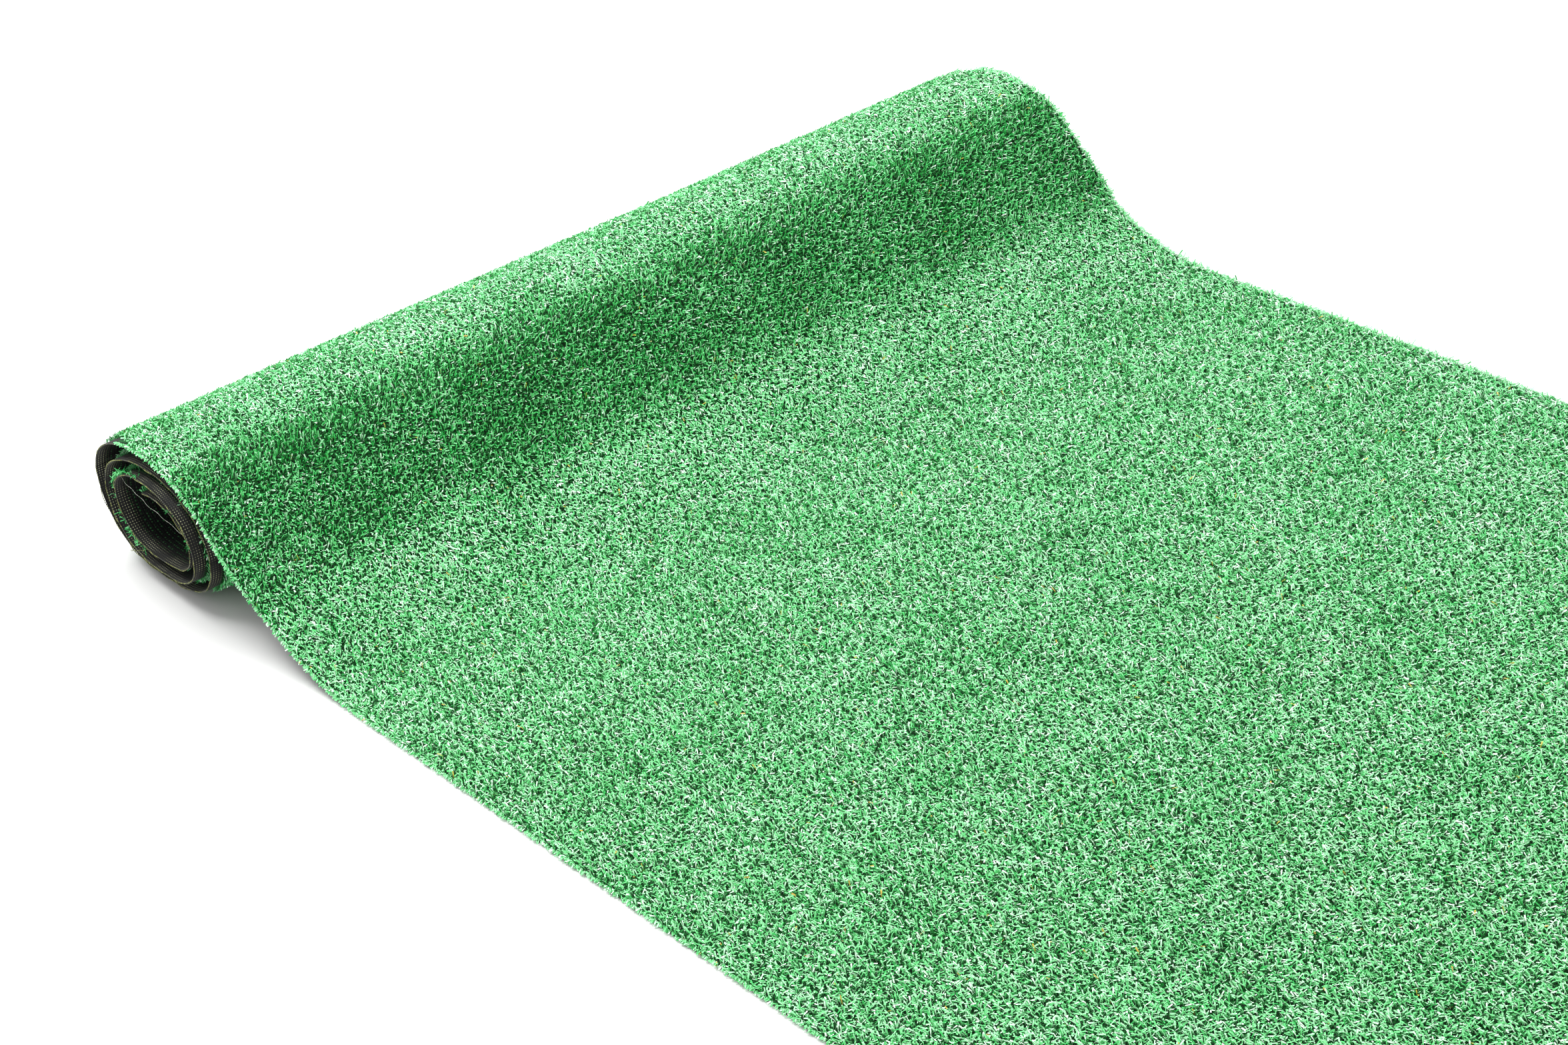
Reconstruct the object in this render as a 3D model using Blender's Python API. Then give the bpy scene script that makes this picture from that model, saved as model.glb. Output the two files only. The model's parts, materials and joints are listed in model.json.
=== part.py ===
"""Practice putting mat: a long strip of short-pile turf, one end still in a loose roll.

The mat is a bendable sheet of two layers, a woven backing and the pile of grass yarn tufted
through it. The pile faces out of the roll. The sheet leaves the roll over its crest, comes down
a ramp and lies flat to its free end.

A rigid solid can't bend, so the curved stretch is cut across the mat into strips. Each strip
has its own backing and its own pile, and is curved as it lies in the roll. The outer turn's
strips hinge on the lower face of the backing, which is the inner face in the roll. The ramp
and the inner turns each hold their shape, and the mat is lifted at the foot of the ramp.

Frame: +X runs along the mat from the roll to the free end, +Y along the roll, +Z up.
The origin is on the floor, at the centre of the mat's bounding box. Metres throughout.
"""

import math

import bmesh
import bpy
import numpy as np

# The sheet.
MAT_WIDTH = 1.0
MAT_LENGTH = 3.0
BACKING_THICKNESS = 0.0015
PILE_HEIGHT = 0.007

# The roll, an oval that grows tighter with each turn. Half sizes are those at the crest,
# measured to the backing's inner face.
ROLL_HALF_WIDTH = 0.109
ROLL_HALF_HEIGHT = 0.0665
CENTRE_DRIFT = 0.0048
SQUARENESS = 0.175
SQUARENESS_SWING = 0.125
ROLL_END_DEG = 1090.0

# The ramp between the roll and the flat stretch.
RAMP_ANGLE_DEG = 44.0
TOE_RADIUS = 0.30

# The stretch of flat mat between the line where the mat is lifted and the hollow arc, and how
# far it lifts. The layers are bevelled along that line to make room for it.
RAMP_FOOT_LENGTH = 0.06
LIFT_RANGE_DEG = 30.0

# Clearances.
TURN_GAP_WIDE = 0.0093
TURN_GAP_HIGH = 0.0033
LAYER_GAP = 0.0003
STRIP_GAP = 0.0004
FLOOR_GAP = 0.0002

# How the curved stretch is divided, from the foot of the ramp inwards.
REGIONS = (("ramp", 3), ("outer_turn", 11), ("middle_turn", 8), ("inner_turn", 6))
TURN = 2 * math.pi
SAMPLES_PER_TURN = 720
POINTS_PER_STRIP = 6
LEAST_BEND = 0.6

MAT_THICKNESS = BACKING_THICKNESS + PILE_HEIGHT
# How much each half size of the oval shrinks in one turn.
PITCH_WIDE = MAT_THICKNESS + TURN_GAP_WIDE
PITCH_HIGH = MAT_THICKNESS + TURN_GAP_HIGH
LIFT_RANGE = math.radians(LIFT_RANGE_DEG)
RAMP_ANGLE = math.radians(RAMP_ANGLE_DEG)
ROLL_END = math.radians(ROLL_END_DEG)


def centre_height():
    """Height of the oval's centre, with the pile under the roll just on the floor."""
    lowest_half_height = ROLL_HALF_HEIGHT - PITCH_HIGH / 2
    return FLOOR_GAP + MAT_THICKNESS + lowest_half_height


def oval_point(turned):
    """A point of the roll's spiral, turned radians past the crest, with the centre at x = 0."""
    turns = turned / TURN
    half_width = ROLL_HALF_WIDTH - PITCH_WIDE * turns
    half_height = ROLL_HALF_HEIGHT - PITCH_HIGH * turns
    square = SQUARENESS - SQUARENESS_SWING * math.cos(turned)
    x = CENTRE_DRIFT * turns - half_width * math.sin(turned)
    z = half_height * math.cos(turned) * (1 + square * math.sin(turned) ** 2)
    return np.array((x, centre_height() + z))


def oval_slope(turned):
    """How steeply the oval falls towards +X at that point, in radians."""
    step = 1e-4
    before, after = oval_point(turned - step), oval_point(turned + step)
    return math.atan2(after[1] - before[1], before[0] - after[0])


def leaving_turn():
    """Where the ramp leaves the oval: ahead of the crest, where the oval is as steep as the ramp."""
    steep, level = -math.pi / 2, 0.0
    for _ in range(50):
        middle = (steep + level) / 2
        if oval_slope(middle) > RAMP_ANGLE:
            steep = middle
        else:
            level = middle
    return level


def ramp_points():
    """The ramp from its foot on the floor to the oval: a hollow arc, then a straight run."""
    top = oval_point(leaving_turn())
    tangent = TOE_RADIUS * math.tan(RAMP_ANGLE / 2)
    foot_x = top[0] + top[1] / math.tan(RAMP_ANGLE) + tangent
    angles = np.linspace(0, RAMP_ANGLE, 80)
    arc_x = foot_x - TOE_RADIUS * np.sin(angles)
    arc_z = TOE_RADIUS * (1 - np.cos(angles))
    share = np.linspace(0, 1, 20)[1:-1]
    run_x = arc_x[-1] + share * (top[0] - arc_x[-1])
    run_z = arc_z[-1] + share * (top[1] - arc_z[-1])
    return np.column_stack((np.append(arc_x, run_x), np.append(arc_z, run_z)))


def spiral_points(start, end):
    """The oval from one turned angle to another, both included."""
    count = max(2, round(SAMPLES_PER_TURN * (end - start) / TURN)) + 1
    return np.array([oval_point(turned) for turned in np.linspace(start, end, count)])


def region_points():
    """The line of the backing's inner face, region by region, from the foot of the ramp inwards."""
    leave = leaving_turn()
    first = spiral_points(leave, TURN)
    second = spiral_points(TURN, 2 * TURN)
    third = spiral_points(2 * TURN, ROLL_END)
    ramp = np.vstack((ramp_points(), first[:1]))
    return dict(zip((name for name, _ in REGIONS), (ramp, first, second, third)))


def strip_lines(points, count):
    """Cuts a line into count pieces that arch by about the same amount between their ends."""
    steps = np.diff(points, axis=0)
    lengths = np.hypot(steps[:, 0], steps[:, 1])
    heading = np.unwrap(np.arctan2(steps[:, 1], steps[:, 0]))
    bend = np.abs(np.gradient(heading)) / lengths + LEAST_BEND
    measure = np.append(0, np.cumsum(np.sqrt(bend) * lengths))
    along = np.append(0, np.cumsum(lengths))
    cuts = np.interp(np.linspace(0, measure[-1], count + 1), measure, along)
    lines = []
    for low, high in zip(cuts, cuts[1:]):
        at = np.linspace(low, high, POINTS_PER_STRIP)
        x = np.interp(at, along, points[:, 0])
        z = np.interp(at, along, points[:, 1])
        lines.append(np.column_stack((x, z)))
    return lines


def unit(vector):
    return vector / np.hypot(vector[0], vector[1])


def outward_normals(line):
    """Normals on the pile side of a line that runs inwards from the ramp's foot."""
    tangents = np.gradient(line, axis=0)
    normals = np.column_stack((tangents[:, 1], -tangents[:, 0]))
    return normals / np.hypot(normals[:, 0], normals[:, 1])[:, None]


def clipped(outline, point, direction):
    """The part of a closed outline that lies behind a line through point, square to direction."""
    kept = []
    heights = (outline - point) @ direction
    for index, here in enumerate(outline):
        before = outline[index - 1]
        height, height_before = heights[index], heights[index - 1]
        if (height > 0) != (height_before > 0):
            share = height_before / (height_before - height)
            kept.append(before + share * (here - before))
        if height <= 0:
            kept.append(here)
    return np.array(kept)


def layer_outline(line, low, high, chords):
    """One layer of a strip in side view, between two heights above the backing's inner face.

    chords are the directions of the strips before, here and after. The ends are cut square to
    this strip's chord, which leaves room when the mat lies flat, and on the bisectors with its
    neighbours, which leaves room in the roll.
    """
    normals = outward_normals(line)
    outline = np.vstack((line + low * normals, (line + high * normals)[::-1]))
    before, here, after = chords
    half_gap = STRIP_GAP / 2
    for ahead in (here, unit(here + after)):
        outline = clipped(outline, line[-1] - half_gap * ahead, ahead)
    for ahead in (here, unit(here + before)):
        outline = clipped(outline, line[0] + half_gap * ahead, -ahead)
    return outline


def mat_strips():
    """[(strip name, line)] of all that is lifted, from the foot of the ramp inwards."""
    lines = region_points()
    foot_x = lines[REGIONS[0][0]][0][0]
    strip_x = np.linspace(foot_x + RAMP_FOOT_LENGTH, foot_x, POINTS_PER_STRIP)
    strips = [("ramp_foot", np.column_stack((strip_x, np.zeros(POINTS_PER_STRIP))))]
    for region, count in REGIONS:
        for number, line in enumerate(strip_lines(lines[region], count), start=1):
            strips.append((f"{region}_{number:02d}", line))
    return strips


def free_end_x(strips):
    """X of the flat stretch's free end: what the strips leave of the mat's length."""
    steps = [np.diff(line, axis=0) for _, line in strips]
    moving = sum(np.hypot(step[:, 0], step[:, 1]).sum() for step in steps)
    return strips[0][1][0][0] + MAT_LENGTH - moving


def material(name, color, roughness):
    made = bpy.data.materials.new(name)
    made.use_nodes = True
    shader = made.node_tree.nodes["Principled BSDF"]
    shader.inputs["Base Color"].default_value = (*color, 1.0)
    shader.inputs["Roughness"].default_value = roughness
    shader.inputs["Metallic"].default_value = 0.0
    made.diffuse_color = (*color, 1.0)
    return made


def across_mat(name, outline, origin, parent, finish):
    """A solid with that side view, as wide as the mat, with its origin on its hinge line."""
    mesh = bpy.data.meshes.new(name)
    shape = bmesh.new()
    near_y = -MAT_WIDTH / 2
    corners = [shape.verts.new((x - origin[0], near_y, z - origin[1])) for x, z in outline]
    side = shape.faces.new(corners)
    grown = bmesh.ops.extrude_face_region(shape, geom=[side])["geom"]
    moved = [item for item in grown if isinstance(item, bmesh.types.BMVert)]
    bmesh.ops.translate(shape, verts=moved, vec=(0, MAT_WIDTH, 0))
    bmesh.ops.recalc_face_normals(shape, faces=shape.faces)
    shape.to_mesh(mesh)
    shape.free()
    mesh.materials.append(finish)
    piece = bpy.data.objects.new(name, mesh)
    piece.parent = parent
    bpy.context.collection.objects.link(piece)
    return piece


def hinge_empty(name, point, parent, parent_point):
    """An empty on the line where a strip begins, carried by the one before it."""
    empty = bpy.data.objects.new(name, None)
    empty.location = (point[0] - parent_point[0], 0, point[1] - parent_point[1])
    empty.parent = parent
    bpy.context.collection.objects.link(empty)
    return empty


def flat_outline(low_x, high_x, low_z, high_z):
    """One layer of the flat stretch in side view, bevelled by its half of the lift."""
    slab = ((low_x, low_z), (high_x, low_z), (high_x, high_z), (low_x, high_z))
    bevel = np.array((-math.cos(LIFT_RANGE / 2), math.sin(LIFT_RANGE / 2)))
    return clipped(np.array(slab), np.array((low_x, 0.0)), bevel)


def add_layers(strip, outlines, origin, parent, finishes):
    for layer in ("backing", "pile"):
        across_mat(f"{strip}_{layer}", outlines[layer], origin, parent, finishes[layer])


def layer_heights():
    pile_foot = BACKING_THICKNESS + LAYER_GAP
    return {"backing": (0.0, BACKING_THICKNESS), "pile": (pile_foot, MAT_THICKNESS)}


def chain_points(strips, shift):
    """Where each strip begins, and the roll's inner end, in the part's frame."""
    points = [line[0] + shift for _, line in strips]
    points.append(strips[-1][1][-1] + shift)
    return points


def frame_shift(strips):
    """What moves the roll's centre at x = 0 to the frame's origin at the bounding box's centre."""
    outer = np.vstack([line + MAT_THICKNESS * outward_normals(line) for _, line in strips])
    return np.array((-(outer[:, 0].min() + free_end_x(strips)) / 2, 0.0))


def build_mat():
    finishes = {
        "backing": material("woven_backing", (0.012, 0.013, 0.011), 0.85),
        "pile": material("turf_pile", (0.045, 0.36, 0.10), 0.55),
    }
    strips = mat_strips()
    shift = frame_shift(strips)
    points = chain_points(strips, shift)
    low_x, high_x = points[0][0] + STRIP_GAP / 2, free_end_x(strips) + shift[0]
    outlines = {
        layer: flat_outline(low_x, high_x, low, high)
        for layer, (low, high) in layer_heights().items()
    }
    parent_point = np.zeros(2)
    parent = hinge_empty("flat_section_frame", parent_point, None, parent_point)
    add_layers("flat_section", outlines, parent_point, parent, finishes)
    ways = [unit(high - low) for low, high in zip(points, points[1:])]
    flat_way_when_lifted = np.array((-math.cos(LIFT_RANGE), -math.sin(LIFT_RANGE)))
    ways = [flat_way_when_lifted, *ways, ways[-1]]
    for number, (strip, line) in enumerate(strips):
        placed = line + shift
        point = points[number]
        empty = hinge_empty(f"{strip}_axis", point, parent, parent_point)
        outlines = {
            layer: layer_outline(placed, low, high, ways[number : number + 3])
            for layer, (low, high) in layer_heights().items()
        }
        add_layers(strip, outlines, point, empty, finishes)
        parent, parent_point = empty, point


def main():
    for existing in list(bpy.data.objects):
        bpy.data.objects.remove(existing, do_unlink=True)
    build_mat()


main()
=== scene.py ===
import json
import math

import bpy
import numpy as np
from mathutils import Matrix, Vector

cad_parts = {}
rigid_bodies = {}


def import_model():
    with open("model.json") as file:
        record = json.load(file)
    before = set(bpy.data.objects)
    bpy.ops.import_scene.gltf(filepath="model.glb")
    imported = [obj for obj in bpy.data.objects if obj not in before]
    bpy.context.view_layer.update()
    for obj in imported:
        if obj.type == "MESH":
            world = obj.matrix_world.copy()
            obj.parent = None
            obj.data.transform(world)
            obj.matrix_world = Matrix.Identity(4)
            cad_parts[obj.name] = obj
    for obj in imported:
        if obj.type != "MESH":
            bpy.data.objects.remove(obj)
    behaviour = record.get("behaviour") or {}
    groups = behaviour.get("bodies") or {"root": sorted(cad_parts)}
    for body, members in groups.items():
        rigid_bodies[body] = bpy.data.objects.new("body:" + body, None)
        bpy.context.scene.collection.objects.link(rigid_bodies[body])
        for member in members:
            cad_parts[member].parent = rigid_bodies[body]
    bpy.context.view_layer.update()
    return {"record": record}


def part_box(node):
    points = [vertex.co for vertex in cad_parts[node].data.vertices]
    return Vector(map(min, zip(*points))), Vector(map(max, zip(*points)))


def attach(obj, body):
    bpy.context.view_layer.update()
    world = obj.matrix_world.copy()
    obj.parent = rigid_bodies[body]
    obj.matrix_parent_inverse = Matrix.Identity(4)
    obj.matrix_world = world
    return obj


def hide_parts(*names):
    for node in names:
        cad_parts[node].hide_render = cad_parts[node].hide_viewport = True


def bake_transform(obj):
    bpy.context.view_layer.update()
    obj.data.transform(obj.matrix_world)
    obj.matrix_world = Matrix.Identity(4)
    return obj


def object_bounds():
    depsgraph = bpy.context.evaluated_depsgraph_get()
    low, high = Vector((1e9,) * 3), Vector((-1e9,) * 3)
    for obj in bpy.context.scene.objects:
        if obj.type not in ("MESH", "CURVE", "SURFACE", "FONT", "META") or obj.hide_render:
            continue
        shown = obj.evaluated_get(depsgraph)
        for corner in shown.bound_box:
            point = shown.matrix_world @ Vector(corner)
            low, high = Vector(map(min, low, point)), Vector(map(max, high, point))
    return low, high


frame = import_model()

RANDOM = np.random.default_rng(41)
TURN = 2 * math.pi

# Lengths are in metres. s is a place along the mat: 0 on the line where the mat is lifted,
# growing towards the middle of the roll. y is a place across it, from the near edge to the far.

# ---------------------------------------------------------------- the sheet's path

MAT_WIDTH = 1.0
HALF = MAT_WIDTH / 2
BACKING_THICKNESS = 0.0013
MAT_THICKNESS = 0.0085
FLOOR_GAP = 0.0002

# In side view the mat is the CAD's: flat, an arc up, a straight ramp, then a flattened spiral
# that shrinks by the two pitches in every turn. Its angles count from the crest of the roll.
ROLL_HALF_WIDTH = 0.109
ROLL_HALF_HEIGHT = 0.0665
PITCH_WIDE = 0.0178
PITCH_HIGH = 0.0118
CENTRE_DRIFT = 0.0048
SQUARENESS = 0.175
SQUARENESS_SWING = 0.125
ROLL_END = math.radians(1090.0)
RAMP_ANGLE = math.radians(44.0)
TOE_RADIUS = 0.30
RAMP_FOOT_LENGTH = 0.06
ARC_POINTS, RAMP_POINTS, ROLL_POINTS, PATH_POINTS = 200, 40, 2400, 6001

JOINTS = {j["name"]: j for j in frame["record"]["behaviour"]["joints"]}
LIFT_X = JOINTS["lift"]["pos_m"][0]
FREE_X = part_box("flat_section_backing")[1][0]
BACK_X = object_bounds()[0][0]


def oval(turned):
    """The spiral's points in side view at these angles past the crest."""
    turns = turned / TURN
    half_width = ROLL_HALF_WIDTH - PITCH_WIDE * turns
    half_height = ROLL_HALF_HEIGHT - PITCH_HIGH * turns
    square = SQUARENESS - SQUARENESS_SWING * np.cos(turned)
    centre = FLOOR_GAP + MAT_THICKNESS + ROLL_HALF_HEIGHT - PITCH_HIGH / 2
    x = CENTRE_DRIFT * turns - half_width * np.sin(turned)
    z = centre + half_height * np.cos(turned) * (1 + square * np.sin(turned) ** 2)
    return np.column_stack((x, z))


def leaving_turn():
    """The angle, before the crest, at which the spiral is as steep as the ramp."""
    halvings, nudge = 50, 1e-4
    steep, level = -math.pi / 2, 0.0
    for _ in range(halvings):
        middle = (steep + level) / 2
        (bx, bz), (ax, az) = oval(np.array((middle - nudge, middle + nudge)))
        if math.atan2(az - bz, bx - ax) > RAMP_ANGLE:
            steep = middle
        else:
            level = middle
    return level


def whole_path():
    """The backing's inner face in side view, evenly spaced from the free end inwards, and
    how far along it the spiral's points lie at which angles."""
    leave = leaving_turn()
    top = oval(np.array((leave,)))[0]
    foot_x = top[0] + top[1] / math.tan(RAMP_ANGLE) + TOE_RADIUS * math.tan(RAMP_ANGLE / 2)
    shift = LIFT_X - (foot_x + RAMP_FOOT_LENGTH)
    angles = np.linspace(0, RAMP_ANGLE, ARC_POINTS)
    arc_x = foot_x - TOE_RADIUS * np.sin(angles)
    arc = np.column_stack((arc_x, TOE_RADIUS * (1 - np.cos(angles))))
    share = np.linspace(0, 1, RAMP_POINTS)[1:-1, None]
    run = arc[-1] + share * (top - arc[-1])
    turned = np.linspace(leave, ROLL_END, ROLL_POINTS)
    lift = np.array(((LIFT_X - shift, 0.0),))
    flat = np.array(((FREE_X - shift, 0.0),))
    points = np.vstack((flat, lift, arc, run, oval(turned))) + (shift, 0.0)
    steps = np.hypot(*np.diff(points, axis=0).T)
    along = np.append(0, np.cumsum(steps)) - steps[0]
    even = np.linspace(along[0], along[-1], PATH_POINTS)
    x, z = np.interp(even, along, points[:, 0]), np.interp(even, along, points[:, 1])
    return even, x, z, along[-ROLL_POINTS:], turned


PATH_S, PATH_X, PATH_Z, ROLL_S, ROLL_TURNED = whole_path()
TANGENT_X, TANGENT_Z = np.gradient(PATH_X), np.gradient(PATH_Z)
PATH_STEP = np.hypot(TANGENT_X, TANGENT_Z)
TANGENT_X, TANGENT_Z = TANGENT_X / PATH_STEP, TANGENT_Z / PATH_STEP
S_FREE, S_INNER = PATH_S[0], PATH_S[-1]

# Each hinge is looked for in a window that starts a little past the one before it, since the
# spiral's turns lie close to one another.
NEXT_HINGE = 0.02
HINGE_WINDOW = 0.25


def s_of_joint(name, after):
    """How far along the sheet a hinge lies, looked for past another place on it."""
    x, _, z = JOINTS[name]["pos_m"]
    far = np.hypot(PATH_X - x, PATH_Z - z)
    far[(PATH_S < after) | (PATH_S > after + HINGE_WINDOW)] = np.inf
    return float(PATH_S[np.argmin(far)])


def s_turned(degrees):
    """How far along the sheet the roll has turned that far past its crest."""
    return float(np.interp(math.radians(degrees), ROLL_TURNED, ROLL_S))


NAMES = [j["name"] for j in frame["record"]["behaviour"]["joints"]]
HINGES = [0.0]
for joint_name in NAMES[1:]:
    HINGES.append(s_of_joint(joint_name, HINGES[-1] + NEXT_HINGE))
S_FIRST = HINGES[1]


def read(table, s):
    return np.interp(s, PATH_S, table)


def smooth(value, low, high):
    """0 below low, 1 above high, and an easy slope between them."""
    t = np.clip((value - low) / (high - low), 0, 1)
    return t * t * (3 - 2 * t)


RIPPLE_HEIGHT = 0.00045
# The ramp's foot starts this much towards the free end at its near edge, and this much less
# across the whole width.
SKEW_NEAR = 0.010
SKEW_ACROSS = 0.032
# How far the turns have crept sideways: the outer one at its far end, and the inner ones.
FAR_END_CREEP = 0.009
INNER_CREEP = 0.006
INNER_WAVER = 0.002


def ripple(s, y):
    """The sheet's slight unevenness in the roll, square to its face."""
    gentle = np.sin(5.1 * y + 7 * s + 0.6) + 0.6 * np.sin(11.3 * y - 9 * s + 2.1)
    return RIPPLE_HEIGHT * smooth(s, 0.25, 0.45) * gentle


def skew(s, y):
    """The ramp starts nearer the roll at its far end."""
    on_ramp = smooth(s, 0.0, 0.14) * (1 - smooth(s, 0.18, S_FIRST))
    return on_ramp * (SKEW_NEAR - SKEW_ACROSS * (y / MAT_WIDTH + 0.5))


def drift(s, y):
    """Sideways creep: the roll's far end stands out a little, and the inner turns lag."""
    outer = FAR_END_CREEP * smooth(s, 0.10, 0.44) * smooth(y, 0.0, 0.5)
    waver = INNER_WAVER * np.sin(9 * s) * smooth(s, 0.5, 0.8)
    return outer + (-INNER_CREEP * smooth(s, 0.75, 1.3) + waver)


def axes(s):
    """Unit vectors along the sheet and square to it, on the pile side."""
    tx, tz = read(TANGENT_X, s), read(TANGENT_Z, s)
    length = np.hypot(tx, tz)
    tx, tz = tx / length, tz / length
    zero = np.zeros_like(tx)
    return np.column_stack((tx, zero, tz)), np.column_stack((tz, zero, -tx))


def place(s, y, height):
    """The point that far along the sheet, across it and above its inner face."""
    s, y = np.asarray(s, float), np.asarray(y, float)
    _, normal = axes(s)
    base = np.column_stack((read(PATH_X, s) + skew(s, y), y + drift(s, y), read(PATH_Z, s)))
    return base + normal * (height + ripple(s, y))[:, None]


# ---------------------------------------------------------------- pieces and bodies

CHILDREN = [JOINTS[name]["child"] for name in NAMES]
PARENTS = [JOINTS[name]["parent"] for name in NAMES]
IN_BODY = {
    body: [n.removesuffix("_backing") for n in nodes if n.endswith("_backing")]
    for body, nodes in frame["record"]["behaviour"]["bodies"].items()
}

# How far the pieces that lie across two bodies reach past the lift line, before the outer turn's
# first hinge and past its last one.
LIFT_REACH = 0.035
TURN_REACH = 0.030
LAST_STRIP = "outer_turn_10"


def spans():
    """(name, low s, high s, bodies, CAD strips stood for), free end first."""
    cuts = [S_FIRST - TURN_REACH]
    cuts += [(a + b) / 2 for a, b in zip(HINGES[1:], HINGES[2:])]
    cuts.append(HINGES[-1] + TURN_REACH)
    found = [
        ("flat", S_FREE, -LIFT_REACH, ("flat_section",), ["flat_section"]),
        ("lift_line", -LIFT_REACH, LIFT_REACH, ("flat_section", "ramp"), []),
        ("ramp", LIFT_REACH, cuts[0], ("ramp",), IN_BODY["ramp"]),
    ]
    for number in range(1, len(HINGES)):
        low, high = cuts[number - 1], cuts[number]
        child = CHILDREN[number]
        stands_for = [child] if number < len(HINGES) - 1 else [LAST_STRIP]
        found.append((f"turn_{number:02d}", low, high, (PARENTS[number], child), stands_for))
    rest = [strip for strip in IN_BODY["inner_roll"] if strip != LAST_STRIP]
    found.append(("inner", cuts[-1], S_INNER, ("inner_roll",), rest))
    return found


def carried(piece, bodies):
    """Makes a piece ride on its body; one between two bodies stays where it is, on neither."""
    if len(bodies) == 1:
        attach(piece, bodies[0])
        return
    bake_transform(piece)


# ---------------------------------------------------------------- materials

# The yarn is stitched in rows along the mat: from stitch to stitch, and from row to row.
STITCH_PITCH = 0.0032
ROW_PITCH = 0.0048
MESH_PITCH = 0.0026
# Blades take their colour from this many columns of their map.
TONES = 64
# In the roll the two side edges carry no yarn over this much of their width.
BARE_EDGE = 0.012
# The backing's bare mesh starts this much further in, and shows more by this much a metre.
MESH_INSIDE = 0.003
MESH_SLOPE = 140.0


class Nodes:
    """A short hand for building one material."""

    def __init__(self, name, roughness):
        self.material = bpy.data.materials.new(name)
        self.material.use_nodes = True
        self.tree = self.material.node_tree
        self.shader = self.tree.nodes["Principled BSDF"]
        self.shade("Roughness", roughness)

    def put(self, socket, value):
        if hasattr(value, "links"):
            self.tree.links.new(value, socket)
        else:
            socket.default_value = value

    def shade(self, socket, value):
        self.put(self.shader.inputs[socket], value)

    def node(self, kind, *values, **settings):
        made = self.tree.nodes.new(kind)
        for key, value in settings.items():
            setattr(made, key, value)
        for socket, value in zip(made.inputs, values):
            self.put(socket, value)
        return made

    def math(self, operation, *values):
        return self.node("ShaderNodeMath", *values, operation=operation).outputs[0]

    def mix(self, share, low, high, blend="MIX"):
        made = self.tree.nodes.new("ShaderNodeMix")
        made.data_type = "RGBA"
        made.blend_type = blend
        for socket, value in (("Factor", share), ("A", low), ("B", high)):
            plain = isinstance(value, tuple)
            self.put(made.inputs[socket], (*value, 1) if plain else value)
        return made.outputs["Result"]

    def ramp(self, value, *stops):
        """A colour for each value: stops are (value, linear colour)."""
        made = self.node("ShaderNodeValToRGB", value)
        elements = made.color_ramp.elements
        while len(elements) < len(stops):
            elements.new(0.5)
        for element, (position, color) in zip(elements, stops):
            element.position = position
            element.color = (*color, 1)
        return made.outputs[0]

    def noise(self, place_socket, scale, detail=2.0):
        made = self.node("ShaderNodeTexNoise", place_socket)
        made.inputs["Scale"].default_value = scale
        made.inputs["Detail"].default_value = detail
        return made.outputs[0]

    def bump(self, strength, distance, height):
        made = self.tree.nodes.new("ShaderNodeBump")
        made.inputs["Strength"].default_value = strength
        made.inputs["Distance"].default_value = distance
        self.put(made.inputs["Height"], height)
        self.shade("Normal", made.outputs[0])

    def uv(self, map_name):
        """A map's coordinates, whole and as two numbers."""
        whole = self.node("ShaderNodeUVMap", uv_map=map_name).outputs[0]
        split = self.node("ShaderNodeSeparateXYZ", whole)
        return whole, split.outputs[0], split.outputs[1]


def linear(red, green, blue):
    """Linear colour of an 8-bit screen colour."""
    out = []
    for channel in (red, green, blue):
        c = channel / 255
        out.append(c / 12.92 if c <= 0.04045 else ((c + 0.055) / 1.055) ** 2.4)
    return tuple(out)


BLACK, WHITE = (0, 0, 0), (1, 1, 1)


def grass_material():
    """Cut yarn blades. Across the map each blade has its tone and its width; up it, its rise."""
    n = Nodes("turf_blades", 0.42)
    _, column, rise = n.uv("blade")
    scaled = n.math("MULTIPLY", column, float(TONES))
    tone = n.math("DIVIDE", n.math("FLOOR", scaled), float(TONES - 1))
    across = n.math("FRACT", scaled)
    # Greens from deep to nearly white, the near-white ones painted glints, and above them a few
    # straw-coloured blades.
    color = n.ramp(
        tone,
        (0.0, linear(8, 126, 44)),
        (0.22, linear(58, 186, 92)),
        (0.48, linear(132, 226, 152)),
        (0.72, linear(186, 240, 198)),
        (0.90, linear(232, 248, 234)),
        (0.945, linear(248, 252, 246)),
        (0.955, linear(176, 176, 66)),
        (1.0, linear(214, 170, 84)),
    )
    # A blade is painted darker down among the others, painted shade for the depth of the pile
    # (foot and waist are its colours at the root and part way up), and its middle rib is brighter
    # than its rims.
    foot, waist = (0.16, 0.28, 0.18), (0.72, 0.84, 0.74)
    painted_root_shade = n.ramp(rise, (0.0, foot), (0.30, waist), (0.6, WHITE))
    shaded = n.mix(1.0, color, painted_root_shade, "MULTIPLY")
    off_middle = n.math("ABSOLUTE", n.math("SUBTRACT", across, 0.5))
    rib = n.math("MULTIPLY", n.math("SUBTRACT", 0.30, off_middle), 0.35)
    gain = n.math("ADD", 1.0, rib)
    bright = n.node("ShaderNodeCombineXYZ", gain, gain, gain).outputs[0]
    n.shade("Base Color", n.mix(1.0, shaded, bright, "MULTIPLY"))
    n.shade("Roughness", n.math("MULTIPLY_ADD", tone, -0.10, 0.52))
    n.shade("Specular IOR Level", 0.32)
    n.shade("Sheen Weight", 0.03)
    n.shade("Sheen Roughness", 0.4)
    n.shade("Sheen Tint", (0.6, 1.0, 0.7, 1))
    n.bump(0.25, 0.0003, n.math("MULTIPLY", off_middle, -1.0))
    return n.material


def wave(n, value, period):
    """A number that swings between 0 and 1 over that length."""
    angle = n.math("MULTIPLY_ADD", value, TURN / period, 0.0)
    return n.math("MULTIPLY_ADD", n.math("SINE", angle), 0.5, 0.5)


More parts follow.
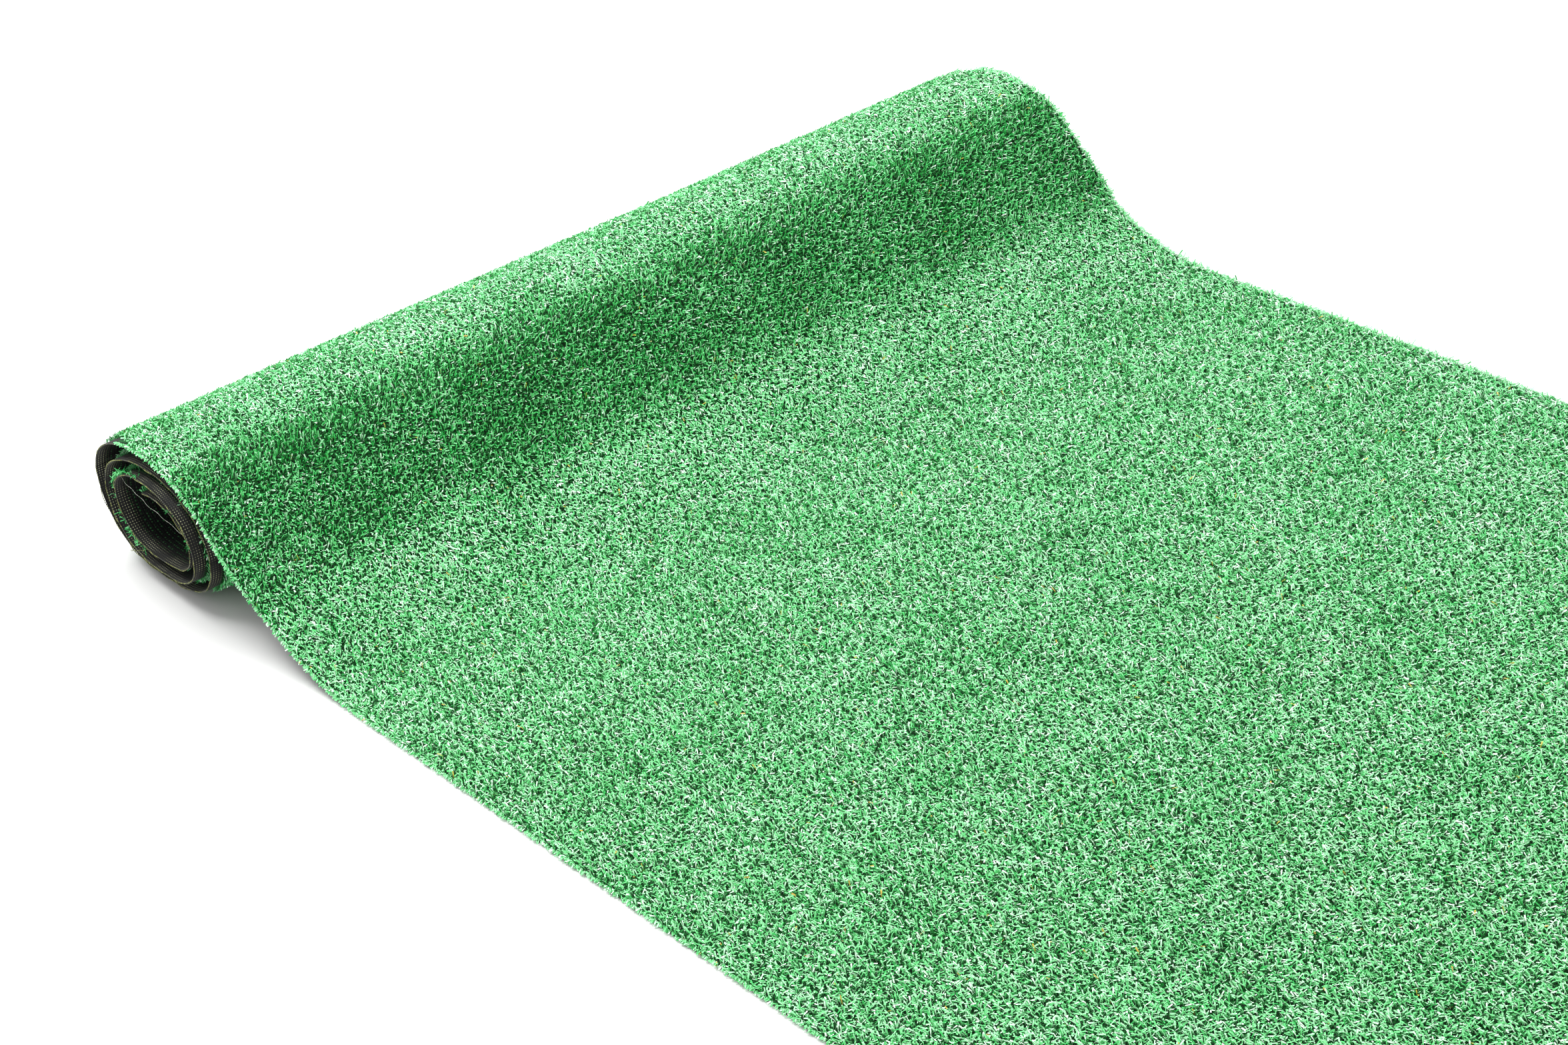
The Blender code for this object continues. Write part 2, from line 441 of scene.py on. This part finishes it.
def stitch_dots(n, along, across, size_along, size_across):
    """1 in the middle of each stitch, falling to 0 at its edge. Sizes are shares of the pitch."""
    row = n.math("DIVIDE", across, ROW_PITCH)
    stagger = n.math("MULTIPLY", n.math("MODULO", n.math("FLOOR", row), 2.0), 0.5)
    at_along = n.math("ADD", n.math("DIVIDE", along, STITCH_PITCH), stagger)
    squares = []
    for at, size in ((at_along, size_along), (row, size_across)):
        off = n.math("DIVIDE", n.math("SUBTRACT", n.math("FRACT", at), 0.5), size)
        squares.append(n.math("MULTIPLY", off, off))
    return n.math("SUBTRACT", 1.0, n.math("MINIMUM", n.math("ADD", *squares), 1.0))


def backing_material():
    """Black woven cloth: rows of stitches under the pile, and a bare mesh along both edges whose
    knots carry painted olive glints.
    """
    n = Nodes("backing_weave", 0.6)
    # The cloth map's second number is y + MAT_WIDTH, so the mat's middle is at MAT_WIDTH.
    uv, along, across = n.uv("cloth")
    weave = n.math("MULTIPLY", wave(n, across, MESH_PITCH), wave(n, along, MESH_PITCH))
    patches = n.noise(uv, 34.0, 3.0)
    fine = n.noise(uv, 420.0)
    from_middle = n.math("ABSOLUTE", n.math("SUBTRACT", across, MAT_WIDTH))
    mesh_from = HALF - BARE_EDGE - MESH_INSIDE
    edge = n.math("MULTIPLY_ADD", from_middle, MESH_SLOPE, -MESH_SLOPE * mesh_from)
    edge = n.math("MINIMUM", n.math("MAXIMUM", edge, 0.0), 1.0)
    # Painted glints: on the bare mesh near the edges, in soft patches, the weave's knots are
    # painted pale olive, standing in for light catching them.
    bright = n.ramp(patches, (0.42, (0.10, 0.10, 0.10)), (0.62, WHITE))
    knots = n.ramp(weave, (0.60, BLACK), (0.78, WHITE))
    shown = n.math("MULTIPLY", knots, n.math("MULTIPLY", bright, edge))
    # The weave's lighter crossings are partly its pattern and partly a painted sheen on the
    # tapes.
    cloth = n.mix(weave, linear(5, 6, 6), linear(24, 27, 23))
    olive = n.mix(fine, linear(92, 96, 58), linear(204, 206, 170))
    cloth = n.mix(shown, cloth, olive)
    stitch = stitch_dots(n, along, across, 0.34, 0.24)
    worn = n.math("GREATER_THAN", fine, 0.50)
    inside = n.math("SUBTRACT", 1.0, edge)
    stitched = n.math("MULTIPLY", n.math("MULTIPLY", stitch, worn), inside)
    yarn = n.mix(patches, linear(22, 62, 34), linear(60, 138, 72))
    n.shade("Base Color", n.mix(stitched, cloth, yarn))
    n.shade("Roughness", n.math("MULTIPLY_ADD", fine, 0.3, 0.45))
    n.shade("Specular IOR Level", 0.22)
    n.shade("Sheen Weight", 0.03)
    n.bump(0.7, 0.0006, n.math("ADD", n.math("MULTIPLY", weave, 0.5), stitched))
    return n.material


def thatch_material():
    """What shows between the blades: yarn roots over the cloth."""
    n = Nodes("turf_thatch", 0.75)
    uv, along, across = n.uv("cloth")
    fine = n.noise(uv, 700.0, 3.0)
    roots = stitch_dots(n, along, across, 0.55, 0.5)
    green = n.mix(fine, linear(10, 66, 26), linear(40, 128, 60))
    n.shade("Base Color", n.mix(roots, linear(5, 24, 9), green))
    n.shade("Specular IOR Level", 0.2)
    n.bump(0.8, 0.001, n.math("ADD", roots, fine))
    return n.material


def yarn_material(name, low, high):
    """Loose or cut yarn, brighter along some stretches than others."""
    n = Nodes(name, 0.5)
    uv, _, _ = n.uv("cloth")
    noise = n.noise(uv, 260.0)
    sharp = n.ramp(noise, (0.38, BLACK), (0.62, WHITE))
    n.shade("Base Color", n.mix(sharp, linear(*low), linear(*high)))
    n.shade("Specular IOR Level", 0.35)
    n.bump(0.4, 0.0002, noise)
    return n.material


# ---------------------------------------------------------------- the cloth


def mesh_object(name, points, faces, sizes, maps, materials, face_material=None):
    """An object from arrays: faces lists corner numbers one face after another."""
    mesh = bpy.data.meshes.new(name)
    starts = np.append(0, np.cumsum(sizes)[:-1])
    mesh.vertices.add(len(points))
    mesh.vertices.foreach_set("co", np.asarray(points, np.float32).ravel())
    mesh.loops.add(len(faces))
    mesh.loops.foreach_set("vertex_index", np.asarray(faces, np.int32))
    mesh.polygons.add(len(sizes))
    mesh.polygons.foreach_set("loop_start", starts.astype(np.int32))
    if face_material is not None:
        mesh.polygons.foreach_set("material_index", np.asarray(face_material, np.int32))
    mesh.polygons.foreach_set("use_smooth", np.full(len(sizes), True))
    for map_name, values in maps.items():
        layer = mesh.uv_layers.new(name=map_name)
        layer.data.foreach_set("uv", np.asarray(values, np.float32).ravel())
    for material in materials:
        mesh.materials.append(material)
    mesh.update(calc_edges=True)
    mesh.validate()
    made = bpy.data.objects.new(name, mesh)
    bpy.context.collection.objects.link(made)
    return made


# The cloth's inner face stands this much off the CAD's, its grid is this fine along the mat
# (coarse where it lies flat), and it has this many points across between the bare edges.
CLOTH_OFF = 0.00005
FLAT_STEP, CURVED_STEP = 0.02, 0.005
CLOTH_ACROSS = 41
# From here on the bare edges show the cloth on their pile side too, not yarn roots.
BARE_FROM = 0.47


def sheet_piece(name, low, high, materials):
    """A closed thin sheet between two places along the mat, over its whole width."""
    step = FLAT_STEP if high <= 0.0 else CURVED_STEP
    s_count = max(4, math.ceil((high - low) / step)) + 1
    s_line = np.linspace(low, high, s_count)
    inner_edge = HALF - BARE_EDGE
    y_line = np.linspace(-inner_edge, inner_edge, CLOTH_ACROSS)
    y_line = np.concatenate(((-HALF,), y_line, (HALF,)))
    y_count = len(y_line)
    s, y = (grid.ravel() for grid in np.meshgrid(s_line, y_line, indexing="ij"))
    points = np.vstack((place(s, y, CLOTH_OFF), place(s, y, BACKING_THICKNESS)))
    top = s_count * y_count
    number = np.arange(top).reshape(s_count, y_count)
    a, b = number[:-1, :-1].ravel(), number[1:, :-1].ravel()
    c, d = number[1:, 1:].ravel(), number[:-1, 1:].ravel()
    under = np.column_stack((a, b, c, d))
    over = np.column_stack((a, d, c, b)) + top
    rims = []
    for line in (number[:, 0], number[-1, :], number[::-1, -1], number[0, ::-1]):
        rims.append(np.column_stack((line[1:], line[:-1], line[:-1] + top, line[1:] + top)))
    rims = np.vstack(rims)
    faces = np.vstack((under, over, rims))
    bare = (s[a] > BARE_FROM) & (np.abs(y[a] + y[d]) / 2 > inner_edge)
    slots = np.concatenate((np.zeros(len(under)), np.where(bare, 0, 1), np.zeros(len(rims))))
    cloth = np.column_stack((s, y + MAT_WIDTH))
    maps = {"cloth": np.vstack((cloth, cloth))[faces.ravel()]}
    sizes = np.full(len(faces), 4)
    made = mesh_object(name, points, faces.ravel(), sizes, maps, materials, slots)
    rim = np.arange(len(faces)) >= len(under) + len(over)
    made.data.polygons.foreach_set("use_smooth", ~rim)
    return made


# ---------------------------------------------------------------- the pile

# Blades start at this height, inside the cloth, and are about this wide to each side.
ROOT_HEIGHT = 0.0009
BLADE_HALF = 0.00052
# Blades that would go into the floor are pressed flat just above it.
PRESSED = 0.0003
# The bend in a blade, and its outer part beyond that, as shares of its length. The stalk is
# a little narrower than the ribbon.
BEND_AT, RIBBON_SHARE, STALK_WIDTH = 0.55, 0.50, 0.85
# How steeply the ribbons stand, in degrees from the sheet: most of them, and how much more on
# the upper ramp.
RIBBON_RISE, STANDING_RISE = 24, 34
# The most common way for a blade to lean is towards the free end: this share of them does.
LEANS_BACK = 0.72
# Roots keep this far from the side edges.
ROOT_MARGIN = 0.0002


def tuft_places(low, high, per_tuft):
    """Roots of blades, several from each stitch, in rows along the mat."""
    rows = round(MAT_WIDTH / ROW_PITCH)
    stitches = max(1, round((high - low) / STITCH_PITCH))
    s = low + (np.arange(stitches) + 0.5) * (high - low) / stitches
    y = -MAT_WIDTH / 2 + (np.arange(rows) + 0.5) * MAT_WIDTH / rows
    s, y = (grid.ravel() for grid in np.meshgrid(s, y, indexing="ij"))
    whole = int(per_tuft)
    counts = whole + (RANDOM.random(len(s)) < per_tuft - whole)
    s, y = np.repeat(s, counts), np.repeat(y, counts)
    s = np.clip(s + RANDOM.normal(0, 0.0007, len(s)), low, high)
    y = np.clip(y + RANDOM.normal(0, 0.0008, len(y)), ROOT_MARGIN - HALF, HALF - ROOT_MARGIN)
    bare = ROOT_MARGIN + BARE_EDGE * smooth(s, 0.42, 0.49)
    kept = np.abs(y) < HALF - bare + ROOT_MARGIN / 2
    return s[kept], y[kept]


def standing(s):
    """1 on the upper ramp, where the pile stands up and the eye looks down into it. There the
    blades are also painted darker: painted shade for that band.
    """
    return smooth(s, 0.19, 0.27) * (1 - smooth(s, 0.335, 0.395))


def mottle(s, y):
    """Large soft patches where the pile lies one way or another, from -1 to 1. On the blades'
    tones they are a painted sheen, lighter or darker.
    """
    return (
        0.40 * np.sin(21 * s + 3.1 * np.sin(13 * y) + 0.4)
        + 0.30 * np.sin(37 * y + 2.4 * np.sin(17 * s) + 1.3)
        + 0.30 * np.sin(71 * (s + y) + 2.0 * np.sin(43 * y))
    )


def blade_tones(count, patch):
    """Which column of the blade map each blade takes: mostly mid greens, some glints, some
    dark ones and a few straw-coloured ones. patch makes a place lighter or darker."""
    tone = RANDOM.normal(0.53, 0.15, count) + 0.06 * patch
    chance = RANDOM.random(count)
    tone = np.where(chance < 0.09, RANDOM.uniform(0.80, 0.94, count), tone)
    tone = np.where((chance > 0.09) & (chance < 0.13), RANDOM.uniform(0.0, 0.2, count), tone)
    tone = np.clip(tone, 0.0, 0.94)
    tone = np.where(chance > 0.997, RANDOM.uniform(0.965, 1.0, count), tone)
    return np.floor(tone * (TONES - 1))[:, None]


def blade_mesh(name, root, lower, upper, width_way, length, half, column, material):
    """Cut yarn: a thin stalk to the bend, then a flat ribbon out to the cut."""
    count = len(root)
    middle = root + lower * (length * BEND_AT)[:, None]
    tip = middle + upper * (length * RIBBON_SHARE)[:, None]
    side = width_way * half[:, None]
    stalk_side = side * STALK_WIDTH
    corners = (root, middle - stalk_side, middle + stalk_side, tip + side, tip - side)
    points = np.stack(corners, axis=1).reshape(-1, 3)
    points[:, 2] = np.maximum(points[:, 2], PRESSED)
    base = (np.arange(count) * len(corners))[:, None]
    faces = np.hstack((base + (0, 2, 1), base + (1, 2, 3, 4))).ravel()
    sizes = np.tile((3, 4), count)
    left, centre, right = ((column + part) / TONES for part in (0.12, 0.5, 0.88))
    at_root, at_bend, at_cut = (np.full_like(column, rise) for rise in (0.02, 0.5, 0.98))
    foot = (centre, at_root)
    bend = ((left, at_bend), (right, at_bend))
    cut = ((left, at_cut), (right, at_cut))
    looped = (foot, bend[1], bend[0], bend[0], bend[1], cut[1], cut[0])
    blade = np.stack([np.hstack(pair) for pair in looped], axis=1).reshape(-1, 2)
    maps = {"blade": blade, "OFBake": blade}
    return mesh_object(name, points, faces, sizes, maps, [material])


def grow(name, s, y, heading, rise, length, column, material, sway=(0.1, 0.6), width=1.0):
    """Blades rooted at s, y. heading is (along, across) and rise how steeply the ribbon goes."""
    count = len(s)
    along, normal = axes(s)
    side = np.array((0.0, 1.0, 0.0))

    def way(a, b, c):
        vector = along * a[:, None] + side * b[:, None] + normal * c[:, None]
        return vector / np.linalg.norm(vector, axis=1)[:, None]

    size = np.hypot(*heading) + 1e-6
    flat_s, flat_y = heading[0] / size, heading[1] / size
    upper = way(flat_s * np.cos(rise), flat_y * np.cos(rise), np.sin(rise))
    sway = RANDOM.uniform(*sway, count)
    lower = way(flat_s * sway, flat_y * sway, np.ones(count))
    level = way(-flat_y, flat_s, np.zeros(count))
    roll = np.radians(RANDOM.normal(0, 28, count))[:, None]
    width_way = level * np.cos(roll) + np.cross(upper, level) * np.sin(roll)
    half = RANDOM.normal(BLADE_HALF, BLADE_HALF * 0.18, count).clip(0.0003, 0.0010) * width
    root = place(s, y, np.full(count, ROOT_HEIGHT))
    return blade_mesh(name, root, lower, upper, width_way, length, half, column, material)


def blade_piece(name, low, high, per_tuft, material):
    """Cut yarn blades standing on the sheet between two places along it."""
    s, y = tuft_places(low, high, per_tuft)
    count = len(s)
    patch, stand = mottle(s, y), standing(s)
    way = np.where(RANDOM.random(count) < LEANS_BACK, math.pi, 0.0)
    turned = way + RANDOM.normal(0, 0.58, count)
    heading = (np.cos(turned) + 0.2 * patch, np.sin(turned))
    steep = RIBBON_RISE + STANDING_RISE * stand - 5 * patch
    # On the roll the yarn is smoothed down, and around the crest the blades are painted darker:
    # painted shade.
    smoothed = 0.5 * smooth(s, 0.36, 0.44)
    crest = smooth(s, 0.41, 0.50)
    rise = RANDOM.normal(steep * (1 - smoothed), 16 * (1 - smoothed)).clip(-16, 80)
    length = RANDOM.normal(0.0077, 0.0009, count).clip(0.0055, 0.0094) * (1 - 0.12 * smoothed)
    # The tone shifts here are painted light and shade: darker on the upper ramp and around the
    # crest, lighter or darker in the pile's soft patches.
    column = blade_tones(count, 0.5 * patch - 2.2 * stand - 1.3 * crest)
    return grow(name, s, y, heading, np.radians(rise), length, column, material)


def edge_blades(name, low, high, side, material):
    """Blades that lean out over one side edge of the sheet and hide its cloth."""
    gap = 0.00045
    count = round((high - low) / gap)
    s = RANDOM.uniform(low, high, count)
    y = side * (HALF - RANDOM.uniform(ROOT_MARGIN, 0.0022, count))
    heading = (RANDOM.normal(0, 0.75, count), np.full(count, float(side)))
    rise = np.radians(RANDOM.normal(-30, 24, count).clip(-60, 50))
    length = RANDOM.normal(0.0052, 0.0009, count).clip(0.0032, 0.0070)
    column = blade_tones(count, np.full(count, -0.6))
    return grow(name, s, y, heading, rise, length, column, material, sway=(0.4, 0.8))


# Where loose yarn hangs off the torn near edge of the innermost turn, in degrees past the
# crest: most tufts, and a few further in.
TORN = (725, 868)
TORN_INNER = (975, 1040)
TORN_TUFTS, TORN_INNER_TUFTS = 22, 4
TORN_WIDTH = 0.6


def torn_blades(name, material):
    """Long loose yarn along the torn edge of the innermost turn, and along its cut end."""
    edge, ends = ((300, 2400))
    both = edge + ends
    outer = RANDOM.uniform(*map(s_turned, TORN), TORN_TUFTS)
    inner = RANDOM.uniform(*map(s_turned, TORN_INNER), TORN_INNER_TUFTS)
    s = RANDOM.choice(np.append(outer, inner), edge) + RANDOM.normal(0, 0.0016, edge)
    y = -HALF + RANDOM.uniform(0.0003, 0.0040, edge)
    s = np.append(s, np.full(ends, S_INNER - 0.0006))
    y = np.append(y, RANDOM.uniform(-HALF, HALF, ends))
    side = np.append(np.full(edge, -0.6), np.zeros(ends))
    ahead = np.append(np.zeros(edge), np.full(ends, 1.2))
    heading = (ahead + RANDOM.normal(0, 0.9, both), side + RANDOM.normal(0, 0.7, both))
    rise = np.radians(RANDOM.normal(2, 34, both).clip(-70, 80))
    length = np.append(RANDOM.uniform(0.004, 0.0095, edge), RANDOM.uniform(0.003, 0.008, ends))
    column = np.floor(RANDOM.uniform(0.05, 0.50, both) * TONES)[:, None]
    return grow(name, s, y, heading, rise, length, column, material, (0.2, 0.9), TORN_WIDTH)


# ---------------------------------------------------------------- stitches and threads


def tube(name, line, radius, material, around):
    """A closed thin tube along a line of points, with one radius or one for each point."""
    line = np.asarray(line, float)
    tangent = np.gradient(line, axis=0)
    tangent /= np.linalg.norm(tangent, axis=1)[:, None]
    askew = (0.31, 0.92, 0.24)
    first = np.cross(tangent, askew)
    first /= np.linalg.norm(first, axis=1)[:, None]
    second = np.cross(tangent, first)
    angles = np.linspace(0, TURN, around, endpoint=False)
    ring = first[:, None] * np.cos(angles)[:, None] + second[:, None] * np.sin(angles)[:, None]
    radius = np.broadcast_to(radius, (len(line),))[:, None, None]
    points = (line[:, None] + ring * radius).reshape(-1, 3)
    rings = (np.arange(len(line) - 1) * around)[:, None]
    here = rings + np.arange(around)
    after = rings + (np.arange(around) + 1) % around
    quads = np.stack((here, after, after + around, here + around), axis=-1).reshape(-1, 4)
    ends = [np.arange(around)[::-1], np.arange(around) + (len(line) - 1) * around]
    faces = np.concatenate((quads.ravel(), *ends))
    sizes = np.append(np.full(len(quads), 4), (around, around))
    along = np.append(0, np.cumsum(np.linalg.norm(np.diff(line, axis=0), axis=1)))
    cloth = np.column_stack((np.repeat(along, around), np.tile(angles * 0.0006, len(line))))
    return mesh_object(name, points, faces, sizes, {"cloth": cloth[faces]}, [material])


KNOT_PITCH = 0.0021
STITCH_SIDES, THREAD_SIDES = 5, 6


def edge_stitches(name, low, high, side, material):
    """The yellow-green yarn that whips a side edge: a wavering row of little knots."""
    s = np.arange(low, high, 0.0006)
    waver = 0.0005 * np.sin(s * 210) + 0.0004 * np.sin(s * 87 + 1.7)
    y = side * (HALF + 0.0001 + waver)
    height = 0.0007 + 0.0004 * np.sin(s * 131 + 0.5)
    radius = 0.00016 + 0.00034 * np.abs(np.sin(s * math.pi / KNOT_PITCH)) ** 1.5
    return tube(name, place(s, y, height), radius, material, STITCH_SIDES)


def loose_thread(name, start, end, bow, radius, material):
    """A stray yarn, bowed and a little kinked. Its ends are (degrees past the crest, y,
    height)."""
    ends = [place([s_turned(turned)], [y], height)[0] for turned, y, height in (start, end)]
    share = np.linspace(0, 1, 60)[:, None]
    line = ends[0] * (1 - share) + ends[1] * share
    line += np.array(bow) * np.sin(math.pi * share)
    kink = np.column_stack((np.sin(share * 23), np.sin(share * 31 + 1), np.sin(share * 17 + 2)))
    return tube(name, line + kink * 0.0005, radius, material, THREAD_SIDES)


# ---------------------------------------------------------------- the mat

MATERIALS = {
    "grass": grass_material(),
    "backing": backing_material(),
    "thatch": thatch_material(),
    "stitch": yarn_material("edge_stitch", (38, 46, 22), (158, 164, 92)),
    "thread": yarn_material("pale_thread", (104, 114, 98), (206, 212, 198)),
}
# A pile piece is cut where it would have more blades than this, three triangles each.
MOST_BLADES = 62000
# Blades to a stitch: everywhere in sight, and past this place, deep in the roll.
PER_TUFT, PER_HIDDEN_TUFT, HIDDEN_FROM = 4.0, 2.0, 0.95
# Up to here the pile covers the side edges; past it, in the roll, they are whipped and bare.
ROLL_STARTS = 0.46


def build_span(name, low, high, bodies, strips):
    """The cloth, pile and edges of one stretch of the mat."""
    cloth = sheet_piece(f"backing_{name}", low, high, [MATERIALS["backing"], MATERIALS["thatch"]])
    per_tuft = PER_TUFT if low < HIDDEN_FROM else PER_HIDDEN_TUFT
    expected = (high - low) * per_tuft / (ROW_PITCH * STITCH_PITCH)
    parts = max(1, math.ceil(expected / MOST_BLADES))
    cuts = np.linspace(low, high, parts + 1)
    grass = []
    for number in range(parts):
        label = f"pile_{name}" if parts == 1 else f"pile_{name}_{number + 1}"
        ends = cuts[number], cuts[number + 1]
        grass.append(blade_piece(label, *ends, per_tuft, MATERIALS["grass"]))
    for side, label in ((-1, "near"), (1, "far")):
        if low < ROLL_STARTS:
            ends = low, min(high, ROLL_STARTS)
            made = edge_blades(f"fringe_{label}_{name}", *ends, side, MATERIALS["grass"])
        else:
            made = edge_stitches(f"stitches_{label}_{name}", low, high, side, MATERIALS["stitch"])
        grass.append(made)
    if name == "inner":
        grass.append(torn_blades("pile_torn_end", MATERIALS["grass"]))
    for piece in (cloth, *grass):
        carried(piece, bodies)
    if strips:
        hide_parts(*(f"{strip}_backing" for strip in strips))
        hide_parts(*(f"{strip}_pile" for strip in strips))


def build_threads():
    """Two stray yarns at the near end of the roll's hollow."""
    for name, start, end, bow, radius, material in (
        ("loose_thread_pale", (765, -0.4985, 0.0), (1004, -0.4985, 0.0),
         (-0.003, -0.003, 0.002), 0.00017, "thread"),
        ("loose_thread_olive", (870, -0.4995, 0.002), (500, -0.503, 0.004),
         (0.0, -0.003, 0.0), 0.00022, "stitch"),
    ):
        piece = loose_thread(name, start, end, bow, radius, MATERIALS[material])
        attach(piece, "inner_roll")


for span in spans():
    build_span(*span)
build_threads()

# ---------------------------------------------------------------- floor, light and camera

FLOOR_HALF = 12.0
LIT = (-0.4, 0, 0)


def floor_plane():
    """A white paper floor, faintly uneven in tone."""
    n = Nodes("floor_paper", 0.8)
    position = n.node("ShaderNodeNewGeometry").outputs["Position"]
    noise = n.noise(position, 3.0)
    n.shade("Base Color", n.mix(noise, (0.66, 0.66, 0.655), (0.69, 0.69, 0.685)))
    mesh = bpy.data.meshes.new("floor")
    size = FLOOR_HALF
    corners = [(-size, -size, 0), (size, -size, 0), (size, size, 0), (-size, size, 0)]
    mesh.from_pydata(corners, [], [(0, 1, 2, 3)])
    mesh.materials.append(n.material)
    floor = bpy.data.objects.new("floor", mesh)
    bpy.context.collection.objects.link(floor)


def soft_light(name, place_at, size, power):
    """A square lamp of that size, aimed at the mat's middle."""
    data = bpy.data.lights.new(name, "AREA")
    data.shape = "RECTANGLE"
    data.size, data.size_y = size, size
    data.energy = power
    light = bpy.data.objects.new(name, data)
    light.location = place_at
    way = Vector(LIT) - Vector(place_at)
    light.rotation_euler = way.to_track_quat("-Z", "Y").to_euler()
    bpy.context.collection.objects.link(light)


floor_plane()
soft_light("key", (-1.8, -0.25, 2.9), 2.4, 158)
soft_light("fill", (2.6, -1.2, 2.4), 2.5, 20)

world = bpy.data.worlds.new("studio")
world.use_nodes = True
background = world.node_tree.nodes["Background"]
background.inputs["Color"].default_value = (1.0, 1.0, 1.0, 1)
background.inputs["Strength"].default_value = 0.88
bpy.context.scene.world = world
bpy.context.scene.view_settings.view_transform = "Standard"

# The photo's camera, solved from the mat's edges: its three axes, and its place measured in x
# from the back of the roll.
RIGHT = Vector((0.60175, 0.78623, -0.14047))
UP = Vector((-0.31318, 0.39408, 0.86407))
BACK = Vector((0.73472, -0.47597, 0.48337))
CAMERA_AT = (BACK_X + 2.6706, -1.497, 1.4478)
camera_data = bpy.data.cameras.new("camera")
camera_data.sensor_width = 36.0
camera_data.lens = 77.86
camera = bpy.data.objects.new("camera", camera_data)
turned = Matrix((RIGHT, UP, BACK)).transposed()
camera.matrix_world = Matrix.Translation(CAMERA_AT) @ turned.to_4x4()
bpy.context.collection.objects.link(camera)
bpy.context.scene.camera = camera
